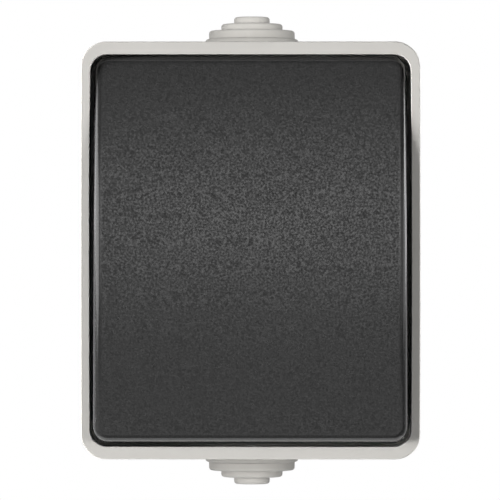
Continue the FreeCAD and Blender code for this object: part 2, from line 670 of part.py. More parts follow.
def terminal_common():
    """Brass terminal with an arm for its screw and the saddle that the blade rocks on."""
    foot = COMMON_FOOT / 2
    guide = BLADE_W / 2 + FIT_GAP
    far = SWITCH_H / 2 - STRIP_END
    cross = block(-guide - CHEEK_T, COMMON_X, -foot, foot, STRIP_Z, STRIP_TOP)
    arm = block(COMMON_X - STRIP_W / 2, COMMON_X + STRIP_W / 2, -foot, far, STRIP_Z, STRIP_TOP)
    half = SADDLE_H / 2
    saddle = block(-guide, guide, -half, half, STRIP_Z, BLADE_Z - SADDLE_DROP)
    cheeks = []
    for s in (-1, 1):
        near, beyond = sorted((s * guide, s * (guide + CHEEK_T)))
        cheeks.append(block(near, beyond, -half, half, STRIP_Z, BLADE_Z + CHEEK_RISE))
    groove = Part.makeCylinder(BEAD_R + BEAD_PLAY, 2 * guide, Vector(-guide, 0, BLADE_Z), X_AXIS)
    return cut(fuse(cross, arm, saddle, *cheeks), groove, strip_hole(COMMON_X, CLAMP_Y))


def contact_blade():
    """Rocking contact: two raised wings and a bead between them that sits in the saddle."""
    half_t = BLADE_T / 2
    wing = block(-BLADE_W / 2, BLADE_W / 2, 0, BLADE_REACH, BLADE_Z - half_t, BLADE_Z + half_t)
    wing.rotate(Vector(0, 0, BLADE_Z), X_AXIS, BLADE_V)
    bead = Part.makeCylinder(BEAD_R, BLADE_W, Vector(-BLADE_W / 2, 0, BLADE_Z), X_AXIS)
    bead = bead.common(block(-BLADE_W, BLADE_W, -BEAD_R, BEAD_R, BLADE_Z - BEAD_R, BLADE_Z))
    return fuse(wing, mirrored_y(wing), bead)


def moving_rivets():
    """Contact rivets under the two ends of the blade."""
    rivet = post(0, RIVET_REACH, BLADE_Z - BLADE_T / 2 - RIVET_T, BLADE_Z - BLADE_T / 2, RIVET_R)
    rivet.rotate(Vector(0, 0, BLADE_Z), X_AXIS, BLADE_V)
    return Part.makeCompound([rivet, mirrored_y(rivet)])


def fixed_rivets():
    """Contact rivets with tapered edges on the upper and lower terminal strips."""
    lean = math.radians(BLADE_FLIP - BLADE_V)
    drop = RIVET_REACH * math.sin(lean) + (BLADE_T / 2 + RIVET_T) * math.cos(lean)
    top = BLADE_Z - drop - CONTACT_GAP
    shoulder = top - FIXED_RIVET_EDGE
    y = RIVET_REACH * math.cos(lean) - (BLADE_T / 2 + RIVET_T) * math.sin(lean)
    taper = Part.makeCone(FIXED_RIVET_R, FIXED_RIVET_FLAT, FIXED_RIVET_EDGE, Vector(0, y, shoulder))
    rivet = fuse(post(0, y, STRIP_TOP, shoulder, FIXED_RIVET_R), taper)
    return Part.makeCompound([rivet, mirrored_y(rivet)])


def slotted_screw(x, y, seat, head_r, shank_r, end):
    """Cheese-head screw along Z: its head stands on the seat and its shank runs down to the end."""
    head = post(x, y, seat, seat + HEAD_T, head_r)
    shank = post(x, y, end, seat, shank_r)
    top = seat + HEAD_T
    slot = block(x - head_r, x + head_r, y - SLOT_CUT_W / 2, y + SLOT_CUT_W / 2, top - SLOT_CUT_D, top)
    return fuse(head, shank).cut(slot)


def cover_screws():
    end = BASE_DEPTH - SCREW_BITE
    places = cover_screw_places()
    return Part.makeCompound([slotted_screw(x, y, SINK_Z, HEAD_R, SCREW_R, end) for x, y in places])


def mechanism_screws():
    end = BRACKET_Z - SCREW_BITE
    places = mechanism_screw_places()
    return Part.makeCompound([slotted_screw(x, y, BRACKET_TOP, HEAD_R, SCREW_R, end) for x, y in places])


def terminal_screws():
    end = STRIP_Z - TERMINAL_TAIL
    places = terminal_places()
    screws = [slotted_screw(x, y, CLAMP_TOP, TERMINAL_HEAD_R, TERMINAL_SCREW_R, end) for x, y in places]
    return Part.makeCompound(screws)


def clamp_plates():
    """Square plates under the terminal screws' heads."""
    plates = []
    for x, y in terminal_places():
        half = CLAMP_PLATE / 2
        plate = block(x - half, x + half, y - half, y + half, CLAMP_Z, CLAMP_TOP)
        plates.append(plate.cut(post(x, y, CLAMP_Z, CLAMP_TOP, TERMINAL_SCREW_R + FIT_GAP)))
    return Part.makeCompound(plates)


def turned(solid, height, degrees):
    """A piece turned about the line along X at that height above the wall."""
    solid.rotate(Vector(0, 0, height), X_AXIS, degrees)
    return solid


def pieces():
    """Every piece of the switch by its name, in the pose of the photograph: top of the rocker in."""
    fixed = [base_box, front_frame, cover_gasket, collar_seal, pivot_bracket, switch_body]
    fixed += [terminal_upper, terminal_lower, terminal_common, fixed_rivets, clamp_plates]
    fixed += [terminal_screws, mechanism_screws, cover_screws]
    made = {make.__name__: make() for make in fixed}
    made["grommet_top"] = grommet()
    made["grommet_bottom"] = mirrored_y(grommet())
    for make in (rocker, cradle, toggle_spring, plunger):
        made[make.__name__] = turned(make(), PIVOT_Z, -TILT)
    for make in (contact_blade, moving_rivets):
        made[make.__name__] = turned(make(), BLADE_Z, BLADE_FLIP)
    return made


def stand_up(solid):
    """From lying on the bench to hanging on the wall: +Z up, front towards -Y."""
    solid.rotate(Vector(0, 0, 0), X_AXIS, 90)
    return solid


def main():
    os.makedirs("parts", exist_ok=True)
    for name, solid in pieces().items():
        stand_up(solid).exportStep(os.path.join("parts", name + ".step"))
    print(f"pivot {PIVOT_Z:.3f} above the wall, contact pivot {BLADE_Z:.3f}, frame front {FRAME_Z:.3f}")
    print(f"rocker {ROCKER_W:.2f} x {ROCKER_H:.2f}, crown at {CROWN_Z:.3f}, front plate at {PLATE_TOP:.3f}")


main()
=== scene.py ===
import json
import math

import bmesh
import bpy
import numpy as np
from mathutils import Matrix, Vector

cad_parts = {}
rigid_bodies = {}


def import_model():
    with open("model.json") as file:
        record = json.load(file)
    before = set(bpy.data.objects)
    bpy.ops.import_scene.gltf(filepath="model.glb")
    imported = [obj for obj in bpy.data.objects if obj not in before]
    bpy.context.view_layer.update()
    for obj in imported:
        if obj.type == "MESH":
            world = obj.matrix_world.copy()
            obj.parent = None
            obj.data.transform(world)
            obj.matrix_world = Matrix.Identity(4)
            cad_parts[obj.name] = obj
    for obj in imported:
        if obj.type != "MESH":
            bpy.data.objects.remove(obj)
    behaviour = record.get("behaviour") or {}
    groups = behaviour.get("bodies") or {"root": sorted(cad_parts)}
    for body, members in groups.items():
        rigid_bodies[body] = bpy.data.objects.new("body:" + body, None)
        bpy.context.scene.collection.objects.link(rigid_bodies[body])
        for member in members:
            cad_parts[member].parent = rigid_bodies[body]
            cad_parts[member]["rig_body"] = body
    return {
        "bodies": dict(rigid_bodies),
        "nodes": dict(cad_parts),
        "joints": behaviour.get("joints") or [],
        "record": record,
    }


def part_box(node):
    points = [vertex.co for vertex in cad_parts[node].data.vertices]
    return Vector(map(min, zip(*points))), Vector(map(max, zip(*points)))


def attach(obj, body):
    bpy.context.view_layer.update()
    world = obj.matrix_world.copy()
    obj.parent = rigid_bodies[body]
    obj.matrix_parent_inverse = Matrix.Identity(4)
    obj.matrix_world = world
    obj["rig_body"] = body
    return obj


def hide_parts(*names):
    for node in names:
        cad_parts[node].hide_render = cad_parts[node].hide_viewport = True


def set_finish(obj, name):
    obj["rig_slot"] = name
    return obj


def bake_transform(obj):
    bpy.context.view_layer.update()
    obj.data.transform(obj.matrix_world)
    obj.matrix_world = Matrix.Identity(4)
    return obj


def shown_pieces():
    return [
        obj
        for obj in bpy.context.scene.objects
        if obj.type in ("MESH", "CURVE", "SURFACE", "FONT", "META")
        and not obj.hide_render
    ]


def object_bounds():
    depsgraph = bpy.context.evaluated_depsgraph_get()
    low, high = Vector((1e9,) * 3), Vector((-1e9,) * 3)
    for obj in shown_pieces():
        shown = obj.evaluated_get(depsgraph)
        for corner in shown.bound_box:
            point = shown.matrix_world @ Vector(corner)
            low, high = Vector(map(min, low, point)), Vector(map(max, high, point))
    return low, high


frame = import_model()

# %% [markdown]
# # A weatherproof rocker switch
# The switch is a light grey box for an outside wall, with one large anthracite rocker in a thin
# frame and a stepped rubber grommet above and below for the cable. The solids of the real
# construction are loaded already, each on the body that it moves with. This lesson dresses them:
# the shells that show are made again as fine surfaces, and every piece gets its finish.

cad_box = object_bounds()
scene = bpy.context.scene
for body in frame["bodies"]:
    members = [name for name, piece in frame["nodes"].items() if piece["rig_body"] == body]
    print(body, "carries", ", ".join(sorted(members)))
print("box of the solids, in mm:", [[round(1000 * x, 2) for x in corner] for corner in cad_box])

# %% [markdown]
# ## A bench to draw on
# A switch is easiest to draw lying on its back: X to the right, Y up the wall and Z out of the
# wall, in millimetres. One function then hangs a drawing on the wall, in metres. The sizes that
# the solids already have are read from them, so that a new surface lies where its solid lies.

# %% Sizes that come from the solids
MM = 0.001
SIDE_BOW = 0.08          # how far each long side of the frame bows out at mid height
SKIN_TRIM = 0.08         # the rocker's drawn skin lies this far inside the solid's sides
front_low, front_high = (np.array(corner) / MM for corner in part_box("front_frame"))
rocker_low, rocker_high = (np.array(corner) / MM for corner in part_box("rocker"))
BODY_W = front_high[0] - front_low[0] - 2 * SIDE_BOW
BODY_H = front_high[2] - front_low[2]
FRAME_Z = -front_low[1]      # front of the frame
JOINT_Z = -front_high[1]     # where the frame meets the base box
ROCKER_W = rocker_high[0] - rocker_low[0] - 2 * SKIN_TRIM
pivot = next(joint for joint in frame["joints"] if joint["name"] == "rocker_pivot")
PIVOT_Z = -pivot["pos_m"][1] / MM
TILT = math.radians(sum(pivot["range_deg"]) / 2)


def hang(points):
    """Bench millimetres to metres on the wall: (x, y, z) becomes (x, -z, y)."""
    return points[..., [0, 2, 1]] * np.array([MM, -MM, MM])


print(f"frame {BODY_W:.2f} x {BODY_H:.2f} mm, its front {FRAME_Z:.2f} mm off the wall")
print(f"rocker tilted by {math.degrees(TILT):.1f} degrees")

# %% [markdown]
# ## Rounded outlines as arrays
# The frame, its well and the rocker all have the same kind of outline: a rectangle with round
# corners whose long sides may bow out a little. A Bevel on a plain box could round the corners,
# but not bow the sides. So a quarter of the outline is worked out from its arcs, for many sizes
# at once, and turned into the whole loop by mirroring.

# %% One quarter of an outline, then the whole loop
SIDE_STEPS = 14
CORNER_STEPS = 16
END_STEPS = 10
FLAT_BOW = 1e-3          # a bow that can't be seen, for straight sides
CORNER_R = 4.9           # outer corners of the frame


def outlines(width, height, radius, bow):
    """Loops of points, one for each row of the sizes, as an array of rows x points x 2.

    A long side is an arc through the mid-height point that stands out by the bow; its radius is
    (c * c + bow * bow) / (2 * bow), where c is the height of the corner's centre. The corner's
    circle lies inside that arc and touches it, then a straight run closes the quarter."""
    sizes = (width, height, radius, bow)
    width, height, radius, bow = (np.asarray(size, float)[:, None] for size in sizes)
    bow = np.maximum(bow, FLAT_BOW)
    corner_y = height / 2 - radius
    side_r = (corner_y ** 2 + bow ** 2) / (2 * bow)
    side_x = width / 2 + bow - side_r
    corner_x = side_x + np.sqrt((side_r - radius) ** 2 - corner_y ** 2)
    touch = np.arctan2(corner_y, corner_x - side_x)
    side_turn = touch * np.linspace(0, 1, SIDE_STEPS, endpoint=False)
    corner_turn = touch + (np.pi / 2 - touch) * np.linspace(0, 1, CORNER_STEPS, endpoint=False)
    end_x = corner_x * np.linspace(1, 0, END_STEPS)
    end_y = 0 * end_x + height / 2
    x = np.hstack([side_x + side_r * np.cos(side_turn), corner_x + radius * np.cos(corner_turn), end_x])
    y = np.hstack([side_r * np.sin(side_turn), corner_y + radius * np.sin(corner_turn), end_y])
    quarter = np.stack([x, y], -1)
    back = quarter[:, ::-1]
    loop = [quarter[:, :-1], back[:, :-1] * [-1, 1], -quarter[:, :-1], back[:, :-1] * [1, -1]]
    return np.concatenate(loop, 1)


def faces_of_grid(rows, columns, ring=False):
    """Four-sided faces of a grid whose columns close on themselves; a ring's rows close too."""
    index = np.arange(rows * columns).reshape(rows, columns)
    if ring:
        index = np.vstack([index, index[:1]])
    after = np.roll(index, -1, axis=1)
    return np.stack([index[:-1], after[:-1], after[1:], index[1:]], -1).reshape(-1, 4)


def outward(points, faces):
    """Turns the faces round if the surface encloses a negative volume.

    Six times the volume is the sum of a . (b x c) over the triangles of the surface."""
    a, b, c, d = (points[faces[:, corner]] for corner in range(4))
    volume = np.einsum("ij,ij->", a, np.cross(b, c)) + np.einsum("ij,ij->", a, np.cross(c, d))
    return faces if volume > 0 else faces[:, ::-1]


print("an outline has", outlines([BODY_W], [BODY_H], [CORNER_R], [SIDE_BOW]).shape[1], "points")

# %% [markdown]
# ## From arrays to a piece
# Several closed surfaces can make up one moulding, such as a shell and the ribs behind it. This
# helper joins them into one mesh, merges the points that meet at poles and seams, and marks the
# edges that are sharp on the real piece. The finish can read a value per point, called polish.

# %% A mesh from surfaces
MERGE = 2e-7             # metres within which two points are one
SHARP_ANGLE = math.radians(32)


def close_seams(mesh):
    """Merges doubled points, drops faces without area and marks the sharp edges."""
    work = bmesh.new()
    work.from_mesh(mesh)
    bmesh.ops.remove_doubles(work, verts=work.verts, dist=MERGE)
    bmesh.ops.dissolve_degenerate(work, edges=work.edges, dist=MERGE)
    work.to_mesh(mesh)
    work.free()
    mesh.shade_smooth()
    mesh.set_sharp_from_angle(angle=SHARP_ANGLE)


def make_piece(name, surfaces, body, node, slot):
    """One object from (points, faces, polish) surfaces in bench millimetres.

    The points are put one surface after the other, and the faces count on from the surfaces
    before them. With body None the piece rides on no body yet."""
    counts = [len(surface[0]) for surface in surfaces]
    starts = np.cumsum([0] + counts)
    points = np.concatenate([surface[0] for surface in surfaces])
    faces = np.concatenate([surface[1] + start for surface, start in zip(surfaces, starts)])
    polish = np.concatenate([np.full(count, surface[2]) for surface, count in zip(surfaces, counts)])
    mesh = bpy.data.meshes.new(name)
    mesh.from_pydata(hang(points).tolist(), [], faces.tolist())
    mesh.attributes.new("polish", "FLOAT", "POINT").data.foreach_set("value", polish.astype(np.float32))
    piece = bpy.data.objects.new(name, mesh)
    scene.collection.objects.link(piece)
    close_seams(mesh)
    if body is not None:
        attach(piece, body)
    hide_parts(node)
    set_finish(piece, slot)
    print(name, "has", len(mesh.vertices), "points and", len(mesh.polygons), "faces")
    return piece


print(f"edges that turn by more than {math.degrees(SHARP_ANGLE):.0f} degrees are sharp")

# %% [markdown]
# ## The rocker
# The rocker is one moulding: a face with a gentle crown, a polished rounding all round it and a
# thin skirt that dips into the frame, hollow behind with a few ribs. Subdivided boxes give such
# a shape roughly; here it is a stack of loops instead, so the rounding has its true radius. The
# loops start as a line in the middle of the face, run outwards over the edge, down the skirt,
# round its rim and back across the ceiling of the hollow.

# %% Sizes of the rocker
ROCKER_H = 75.117        # height of its outline
FACE_RISE = 0.1          # the face sits this far up from the middle of the skirt
DRAFT = 0.12             # the skirt widens by this towards its rim, so that it leaves the mould
ROCKER_CORNER_R = 2.9
ROCKER_EDGE_R = 1.25     # polished rounding round the face
ROCKER_SKIN = 2.0        # thickness behind the face
ROCKER_WALL = 1.8        # thickness of the skirt
SKIRT_DEPTH = 7.0        # crown to the rim of the skirt
PIVOT_DROP = 5.85        # crown to the pivot
CROWN_R = 700.0          # radius of the crown, along the height
RIM_R = 0.3              # broken edges of the skirt's rim
TEXTURE_FADE = 0.5       # width over which the texture runs out into the polished edge
CROWN_Z = PIVOT_Z + PIVOT_DROP
SKIRT_Z = CROWN_Z - SKIRT_DEPTH
print(f"before the tilt: crown {CROWN_Z:.2f} and rim of the skirt {SKIRT_Z:.2f} mm off the wall")

# %% Loops of the rocker
EDGE_STEPS = 14          # loops over a rounding
LEAST_ROUND = 0.05       # smallest corner radius of a loop, as a share of half its width
face_inset = np.array([20.0, 10.0, 5.0, 2.6, 1.8, 1.4])    # loops across the face, from its middle
back_inset = np.array([2.6, 5.0, 10.0, 20.0])              # loops across the ceiling of the hollow


def crown_drop(y):
    """How far the crowned face lies below its middle line: R - sqrt(R * R - y * y)."""
    return CROWN_R - np.sqrt(CROWN_R ** 2 - y ** 2)


def inset_loops(inset):
    """Outlines of the rocker, each smaller all round by its inset."""
    half = ROCKER_W / 2 - inset
    radius = np.maximum(ROCKER_CORNER_R - inset, LEAST_ROUND * half)
    return outlines(2 * half, ROCKER_H - 2 * inset, radius, 0 * inset)


def spine(loop):
    """The line that a loop shrinks to: its x becomes 0 and its y is held to the straight part."""
    reach = (ROCKER_H - ROCKER_W) / 2
    return np.stack([0 * loop[:, 0], np.clip(loop[:, 1], -reach, reach)], -1)[None]


quarter_turn = np.linspace(0, np.pi / 2, EDGE_STEPS)
edge_inset = ROCKER_EDGE_R * (1 - np.sin(quarter_turn))
rim_inset = np.array([-DRAFT, -DRAFT, RIM_R - DRAFT, ROCKER_WALL - RIM_R, ROCKER_WALL,
                      ROCKER_WALL, ROCKER_WALL + RIM_R])
rim_level = np.array([SKIRT_Z + 2 * RIM_R, SKIRT_Z + RIM_R, SKIRT_Z, SKIRT_Z, SKIRT_Z + RIM_R])
inset = np.concatenate([face_inset, edge_inset, rim_inset, back_inset])
depth = np.concatenate([0 * face_inset, ROCKER_EDGE_R * (1 - np.cos(quarter_turn)), 0 * rim_level,
                        [ROCKER_SKIN + RIM_R, ROCKER_SKIN], ROCKER_SKIN + 0 * back_inset])
smooth = np.clip((ROCKER_EDGE_R + TEXTURE_FADE - inset) / TEXTURE_FADE, 0, 1)
smooth[len(face_inset) + len(edge_inset):] = 1
loops = inset_loops(inset)
loops = np.concatenate([spine(loops[0]), loops, spine(loops[-1])])
depth = np.concatenate([depth[:1], depth, depth[-1:]])
smooth = np.concatenate([smooth[:1], smooth, smooth[-1:]])
rows, columns = loops.shape[:2]
rim = 1 + len(face_inset) + len(edge_inset)    # number of the first loop of the rim
level = CROWN_Z - crown_drop(loops[..., 1]) - depth[:, None]
level[rim:rim + len(rim_level)] = rim_level[:, None]
loops[:rim, :, 1] += FACE_RISE
shell = np.concatenate([loops, level[..., None]], -1).reshape(-1, 3)
shell_faces = outward(shell, faces_of_grid(rows, columns))
shell_polish = np.repeat(smooth, columns)
print("rocker shell:", rows, "loops of", columns, "points")

# %% [markdown]
# ## Ribs and clips behind the face
# Four ribs stiffen the face, and four springy clips hold the cradle that turns in the pivot, with
# a pad between each pair. They are never seen from the front, but a spare rocker in the hand shows
# them. Each is a short bar of constant section, so a section carried from one end to the other
# makes it.

# %% Bars of constant section
RIB_T = 1.2              # thickness of a rib
RIB_H = 2.2              # height of a rib
RIB_X = 20.5             # upright ribs, from the middle
RIB_Y = 22.0             # level ribs, from the middle
CLIP_X = 8.0             # middle of a clip
CLIP_W = 5.0
CLIP_T = 1.4
CLIP_HOOK = 0.6          # how far the hook reaches under the beam
CLIP_PLAY = 0.12
BEAM_D = 8.4             # the cradle's beam, up the wall
BEAM_T = 4.2             # and out of the wall
ROOT = 0.3               # how far the bars run into the skin and the walls
CEILING_Z = CROWN_Z - ROCKER_SKIN
ROOT_Z = CEILING_Z + ROOT


def block(x0, x1, y0, y1, z0, z1):
    """Closed box between two corners: a square loop carried up, with its ends drawn to a point."""
    x = np.array([x0, x1, x1, x0])
    y = np.array([y0, y0, y1, y1])
    middle = np.full(4, (x0 + x1) / 2), np.full(4, (y0 + y1) / 2)
    rows = [(*middle, z0), (x, y, z0), (x, y, z1), (*middle, z1)]
    points = np.concatenate([np.stack([px, py, np.full(4, level)], -1) for px, py, level in rows])
    return points, outward(points, faces_of_grid(4, 4)), 1.0


def bar(section, x0, x1):
    """A closed (y, z) section carried along X, with its ends drawn to the section's middle."""
    section = np.asarray(section, float)
    middle = np.broadcast_to(section.mean(0), section.shape)
    rows = [(x0, middle), (x0, section), (x1, section), (x1, middle)]
    points = np.concatenate([np.column_stack([np.full(len(part), x), part]) for x, part in rows])
    return points, outward(points, faces_of_grid(4, len(section))), 1.0


def clip_section(side):
    """Leg beside the cradle's beam, with a hook under the beam's edge."""
    near = BEAM_D / 2 + CLIP_PLAY
    far = near + CLIP_T
    hook = PIVOT_Z - BEAM_T / 2 - CLIP_PLAY
    section = [(near, ROOT_Z), (near, hook), (near - CLIP_HOOK - CLIP_PLAY, hook)]
    section += [(near, hook - CLIP_T), (far, hook - CLIP_T), (far, ROOT_Z)]
    return [(side * y, z) for y, z in section]


print(f"ceiling of the hollow {CEILING_Z:.2f} mm off the wall, before the tilt")

# %% The whole rocker
inner_x = ROCKER_W / 2 - ROCKER_WALL + ROOT
inner_y = ROCKER_H / 2 - ROCKER_WALL + ROOT
behind = []
for side in (-1, 1):
    x = side * RIB_X
    y = side * RIB_Y
    behind.append(block(x - RIB_T / 2, x + RIB_T / 2, -inner_y, inner_y, CEILING_Z - RIB_H, ROOT_Z))
    behind.append(block(-inner_x, inner_x, y - RIB_T / 2, y + RIB_T / 2, CEILING_Z - RIB_H, ROOT_Z))
    x = side * CLIP_X
    behind.append(block(x - CLIP_W / 2, x + CLIP_W / 2, -RIB_T, RIB_T, PIVOT_Z + BEAM_T / 2, ROOT_Z))
    behind += [bar(clip_section(hand), x - CLIP_W / 2, x + CLIP_W / 2) for hand in (-1, 1)]


def tilt_in(points):
    """Turns points about the pivot so that the top of the rocker is pressed in, as in the picture.

    With z counted from the pivot, y becomes y cos t + z sin t, and z becomes z cos t - y sin t."""
    y, z = points[:, 1], points[:, 2] - PIVOT_Z
    turned_y = y * math.cos(TILT) + z * math.sin(TILT)
    turned_z = z * math.cos(TILT) - y * math.sin(TILT)
    return np.column_stack([points[:, 0], turned_y, turned_z + PIVOT_Z])


surfaces = [(shell, shell_faces, shell_polish)] + behind
surfaces = [(tilt_in(points), faces, polish) for points, faces, polish in surfaces]
make_piece("rocker_cap", surfaces, "rocker", "rocker", "rocker_anthracite")

# %% [markdown]
# ## The front frame
# The frame is a thin picture frame with a deep well for the rocker. On the real one the outer
# edge is rounded more than the lip of the well, and the long sides bow out slightly. The section,
# from the side wall over the front to the well, its floor, the collar round the pivot and back
# along the inside, is one closed ring of outlines. The outer skin of the side walls is a thin
# sleeve of its own, because a lamp can be kept off a whole piece only, and the sides need a
# weaker light than the front.

# %% Sizes of the front frame
EDGE_R = 0.25            # rounding of the outer front edge
LIP_R = 0.12             # rounding of the well's lip
SIDE_BAR = 1.80          # long bars, at the corners
END_BAR = 2.48           # top and bottom bars
WELL_BOW = 0.12          # how far each long side of the well bows out
OPENING_R = 3.25         # corners of the well
FLOOR_GAP = 0.45         # pressed skirt to the floor of the well
PLATE_T = 2.0            # floor of the well
MOUTH = (34.0, 18.0, 2.0)     # opening round the pivot: width, height, corner radius
COLLAR_T = 1.6           # wall of the collar round that opening
COLLAR_LIP = 1.5         # how far the collar stands above the floor
COLLAR_Z = 27.6          # end of the collar, off the wall
TONGUE = (62.1, 77.6, 3.4)    # base's tongue: width, height, corner radius
TONGUE_T = 1.2
FIT_GAP = 0.1
LEDGE_Z = 29.0           # ledge over the end of the tongue
SUPPORT = 0.06           # loops beside a rounding, which keep the flats flat
SLEEVE_T = 0.35          # outer skin of the side walls
SEAM = 0.01              # between the sleeve and the rest of the frame
JOINT_BREAK = 0.15       # broken edge of the sleeve at the joint
WELL = (BODY_W - 2 * SIDE_BAR, BODY_H - 2 * END_BAR, OPENING_R)
BODY = (BODY_W, BODY_H, CORNER_R)
PLATE_TOP = SKIRT_Z - ROCKER_H / 2 * math.sin(TILT) - FLOOR_GAP
PLATE_UNDER = PLATE_TOP - PLATE_T
print(f"well {WELL[0]:.2f} x {WELL[1]:.2f} mm, {FRAME_Z - PLATE_TOP:.2f} mm deep")


# %% Section of the front frame
def stations(outline, bow, grow, level):
    """Rows of (width, height, radius, bow, level): one outline grown all round by each amount."""
    grow, level = np.broadcast_arrays(np.atleast_1d(np.asarray(grow, float)), np.asarray(level, float))
    width, height, radius = outline
    return np.column_stack([width + 2 * grow, height + 2 * grow, radius + grow, 0 * grow + bow, level])


def ring_piece(name, section):
    """A piece of the front frame whose section runs round once and closes on itself."""
    loops = outlines(*section[:, :4].T)
    rows, columns = loops.shape[:2]
    level = np.broadcast_to(section[:, 4, None, None], (rows, columns, 1))
    ring = np.concatenate([loops, level], -1).reshape(-1, 3)
    faces = outward(ring, faces_of_grid(rows, columns, ring=True))
    return make_piece(name, [(ring, faces, 0.0)], "housing", "front_frame", "housing_grey")


wall_top = FRAME_Z - EDGE_R - SUPPORT
collar_top = PLATE_TOP + COLLAR_LIP
edge_fall = 1 - np.sin(quarter_turn)
edge_run = 1 - np.cos(quarter_turn)
front_bezel = ring_piece("front_bezel", np.concatenate([
    stations(BODY, SIDE_BOW, [-SLEEVE_T, -SLEEVE_T, 0], [JOINT_Z, wall_top, wall_top]),
    stations(BODY, SIDE_BOW, -EDGE_R * edge_run, FRAME_Z - EDGE_R * edge_fall),
    stations(BODY, SIDE_BOW, -EDGE_R - SUPPORT, FRAME_Z),
    stations(WELL, WELL_BOW, LIP_R + SUPPORT, FRAME_Z),
    stations(WELL, WELL_BOW, LIP_R * edge_fall, FRAME_Z - LIP_R * edge_run),
    stations(WELL, WELL_BOW, 0, [FRAME_Z - LIP_R - SUPPORT, PLATE_TOP]),
    stations(MOUTH, 0, [COLLAR_T, COLLAR_T, 0, 0, COLLAR_T, COLLAR_T],
             [PLATE_TOP, collar_top, collar_top, COLLAR_Z, COLLAR_Z, PLATE_UNDER]),
    stations(TONGUE, 0, [-TONGUE_T, -TONGUE_T, FIT_GAP, FIT_GAP],
             [PLATE_UNDER, LEDGE_Z, LEDGE_Z, JOINT_Z])]))
inner_skin = SEAM - SLEEVE_T
front_sleeve = ring_piece("front_sleeve", stations(
    BODY, SIDE_BOW, [-JOINT_BREAK, 0, 0, inner_skin, inner_skin],
    [JOINT_Z, JOINT_Z + JOINT_BREAK, wall_top - SEAM, wall_top - SEAM, JOINT_Z]))

# %% [markdown]
# ## Wells for the cover screws
# Two screws in opposite corners hold the frame on the base, and their heads lie sunk in the floor
# of the well, out of sight behind the rocker. Each has a boss below the floor: a tube with a step
# for the head, turned round its own axis. The round hole in the floor is cut with a Boolean,
# because the floor's grid runs round the collar and has no place for it. The Boolean is worked out
# at once, and its cutter is deleted.

# %% A turned ring and a round hole
BOSS_POINTS = 48


def turned_ring(profile, x, y):
    """Carries a closed (radius, level) section round an upright axis at (x, y).

    At turn t a point of radius r lies at x + r cos t and y + r sin t."""
    profile = np.asarray(profile, float)
    turn = np.linspace(0, 2 * np.pi, BOSS_POINTS, endpoint=False)
    across = x + profile[:, :1] * np.cos(turn)
    along = y + profile[:, :1] * np.sin(turn)
    points = np.stack([across, along, np.broadcast_to(profile[:, 1:], across.shape)], -1).reshape(-1, 3)
    return points, outward(points, faces_of_grid(*across.shape, ring=True))


def bore(piece, x, y, radius, low, high):
    """Cuts a round hole through a piece."""
    points, faces = turned_ring([(0, low), (radius, low), (radius, high), (0, high)], x, y)
    mesh = bpy.data.meshes.new("cutter")
    mesh.from_pydata(hang(points).tolist(), [], faces.tolist())
    close_seams(mesh)
    cutter = bpy.data.objects.new("cutter", mesh)
    scene.collection.objects.link(cutter)
    cut = piece.modifiers.new("hole", "BOOLEAN")
    cut.object, cut.operation, cut.solver = cutter, "DIFFERENCE", "EXACT"
    bpy.context.view_layer.update()
    after = bpy.data.meshes.new_from_object(piece.evaluated_get(bpy.context.evaluated_depsgraph_get()))
    piece.modifiers.clear()
    before, piece.data = piece.data, after
    bpy.data.objects.remove(cutter)
    bpy.data.meshes.remove(before)
    bpy.data.meshes.remove(mesh)
    after.set_sharp_from_angle(angle=SHARP_ANGLE)


print("a turned ring has", BOSS_POINTS, "points round its axis")

# %% Bosses and sunk holes
BOSS_R = 4.5
BOSS_ROOT = 0.1          # how far a boss runs into the floor
SHANK_HOLE_R = 1.85
HEAD_HOLE_R = 3.55
HEAD_R = 3.2             # the screw's own head
SCREW_STEP = 2.4         # floor of the well to the step that carries the head
CUT_PAST = 0.5           # how far the cutter stands out at either end
screw_high = np.array(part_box("cover_screws")[1]) / MM
SCREW_X = screw_high[0] - HEAD_R
SCREW_Y = screw_high[2] - HEAD_R
boss_top = PLATE_UNDER + BOSS_ROOT
step = PLATE_TOP - SCREW_STEP
tube = [(BOSS_R, JOINT_Z), (BOSS_R, boss_top), (HEAD_HOLE_R, boss_top),
        (HEAD_HOLE_R, step), (SHANK_HOLE_R, step), (SHANK_HOLE_R, JOINT_Z)]
places = [(-SCREW_X, SCREW_Y), (SCREW_X, -SCREW_Y)]
for x, y in places:
    bore(front_bezel, x, y, HEAD_HOLE_R, PLATE_UNDER - CUT_PAST, PLATE_TOP + CUT_PAST)
make_piece("screw_bosses", [(*turned_ring(tube, x, y), 0.0) for x, y in places],
           "housing", "front_frame", "housing_grey")
print("front_bezel now has", len(front_bezel.data.polygons), "faces, with", len(places), "screw holes")

# %% [markdown]
# ## The cable grommets
# A grommet is turned in shape: four rings, each smaller than the last, which are cut off at the
# ring that fits the cable. A profile of radius and height is carried round the axis. Each corner
# of the profile is given a radius, because soft rubber has no sharp edges and the soft edges
# catch the light.

# %% A profile with round corners, carried round an axis
ENTRY_Z = 12.5           # axis of the cable holes, off the wall
CORNER_POINTS = 7
TURN_POINTS = 96


